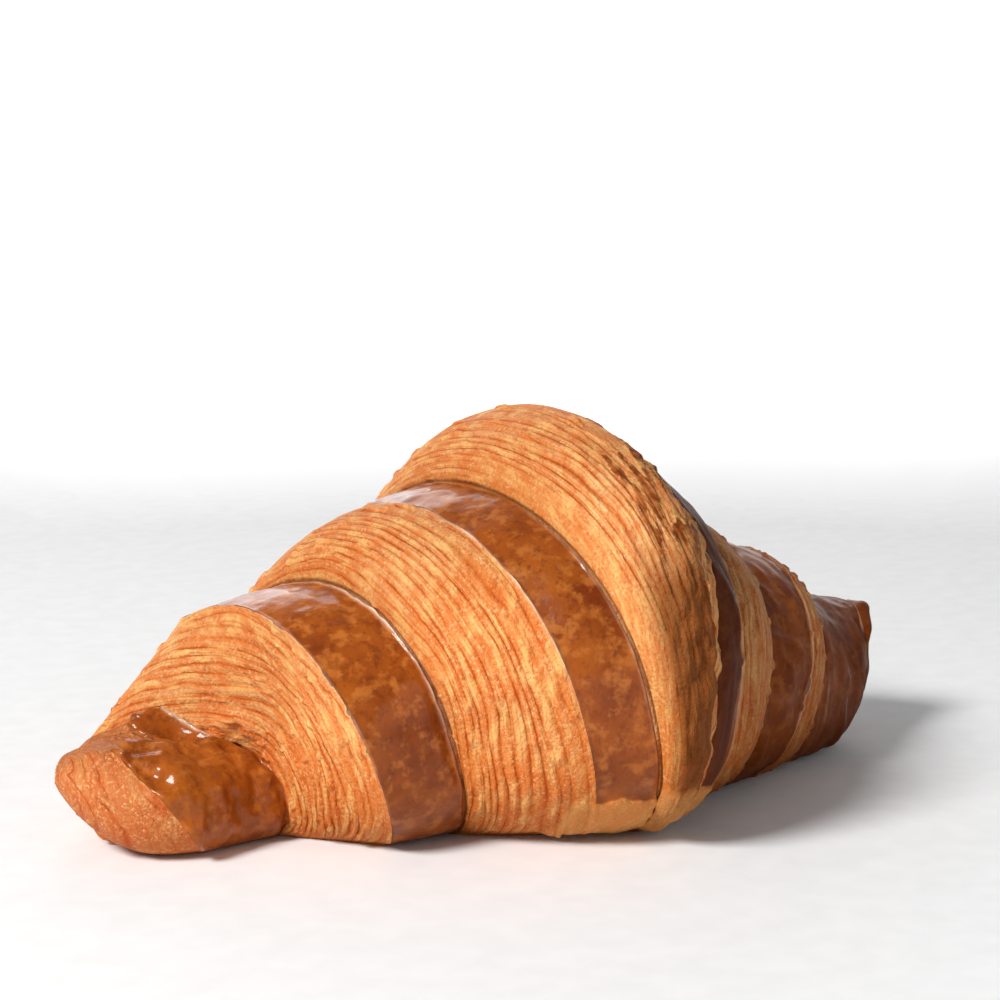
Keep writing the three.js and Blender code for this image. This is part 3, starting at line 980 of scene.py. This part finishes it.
def floor_material():
    """A matt, almost even pale grey that glows where the floor's attribute says so."""
    n = Nodes("pale floor")
    low, high = (colour(grey, grey, grey) for grey in FLOOR_GREYS)
    n.shade("Base Color", n.blend(n.spread(n.noise(n.place(), 6, 1), 0.3, 0.7), low, high))
    n.shade("Roughness", 0.8)
    n.shade("Specular IOR Level", 0)
    n.shade("Emission Color", (1, 1, 1, 1))
    n.shade("Emission Strength", n.product(n.attribute("glow"), WALL_GLOW))
    n.material.cycles.emission_sampling = "NONE"
    return n.material


def studio_floor():
    """Rings of points from the middle out and up the wall, with the glow at each point."""
    profile = [(radius, 0) for radius in (*FLOOR_RINGS, FLOOR_RADIUS)]
    bend = WALL_RADIUS - FLOOR_RADIUS
    for k in range(1, WALL_ROWS + 1):
        a = k / WALL_ROWS * math.pi / 2
        profile.append((FLOOR_RADIUS + bend * math.sin(a), bend * (1 - math.cos(a))))
    profile.append((WALL_RADIUS, WALL_HEIGHT))
    points = [(0, 0, 0)]
    for radius, z in profile:
        for j in range(FLOOR_COLUMNS):
            a = j / FLOOR_COLUMNS * math.tau
            points.append((radius * math.cos(a), radius * math.sin(a), z))
    faces = [(0, 1 + j, 1 + (j + 1) % FLOOR_COLUMNS) for j in range(FLOOR_COLUMNS)]
    for i in range(len(profile) - 1):
        for j in range(FLOOR_COLUMNS):
            a, b = 1 + i * FLOOR_COLUMNS + j, 1 + i * FLOOR_COLUMNS + (j + 1) % FLOOR_COLUMNS
            faces.append((a, a + FLOOR_COLUMNS, b + FLOOR_COLUMNS, b))
    points = np.array(points)
    floor = new_mesh("floor", points / MM, faces)
    radius = np.hypot(points[:, 0], points[:, 1])
    facing = points[:, :2] @ BACKDROP_TOWARDS / np.maximum(radius, 0.01)
    glow = smoothstep(*GLOW_RADIUS, radius) * smoothstep(*GLOW_HEIGHT, points[:, 2])
    glow = glow * smoothstep(*GLOW_FACING, facing)
    attribute = floor.data.attributes.new("glow", "FLOAT", "POINT")
    attribute.data.foreach_set("value", glow.astype(np.float32))
    floor.data.materials.append(floor_material())
    return floor


studio_floor()


# The key light comes from the upper left, a weak one from the front and a wide one from behind.
LIGHTS = (
    dict(name="key", place=(-0.97, -0.22, 0.84), size=0.42, power=18.6),
    dict(name="fill", place=(0.5, -1.0, 0.45), size=0.8, power=0.8),
    dict(name="back", place=(0.5, 0.92, 0.5), size=0.7, power=2.0),
)
LIGHT_TARGET = (0, 0, 0.03)
WORLD_STRENGTH = 0.18


def area_light(name, place, size, power):
    """A round lamp that points at the croissant."""
    light = bpy.data.lights.new(name, "AREA")
    light.shape = "DISK"
    light.size = size
    light.energy = power
    thing = bpy.data.objects.new(name, light)
    thing.location = place
    aim = np.array(LIGHT_TARGET) - np.array(place)
    thing.rotation_mode = "QUATERNION"
    thing.rotation_quaternion = Vector(aim).to_track_quat("-Z", "Y")
    bpy.context.scene.collection.objects.link(thing)


for light in LIGHTS:
    area_light(**light)

world = bpy.data.worlds.new("studio")
world.use_nodes = True
background = world.node_tree.nodes["Background"]
background.inputs["Color"].default_value = (1, 1, 1, 1)
background.inputs["Strength"].default_value = WORLD_STRENGTH
bpy.context.scene.world = world
bpy.context.scene.view_settings.view_transform = "Standard"

# The camera, where the photograph was taken from: its place, yaw and pitch in the part's frame.
CAMERA_PLACE = (-0.2127, -0.3185, 0.1121)
CAMERA_YAW = -33.032
CAMERA_PITCH = 8.844
CAMERA_LENS = 81.48
CAMERA_SENSOR = 36
CAMERA_CLIP = (0.01, 10)

camera = bpy.data.cameras.new("camera")
camera.lens = CAMERA_LENS
camera.sensor_width = CAMERA_SENSOR
camera.clip_start, camera.clip_end = CAMERA_CLIP
eye = bpy.data.objects.new("camera", camera)
eye.location = CAMERA_PLACE
eye.rotation_euler = (math.radians(90 - CAMERA_PITCH), 0, math.radians(CAMERA_YAW))
bpy.context.scene.collection.objects.link(eye)
bpy.context.scene.camera = eye
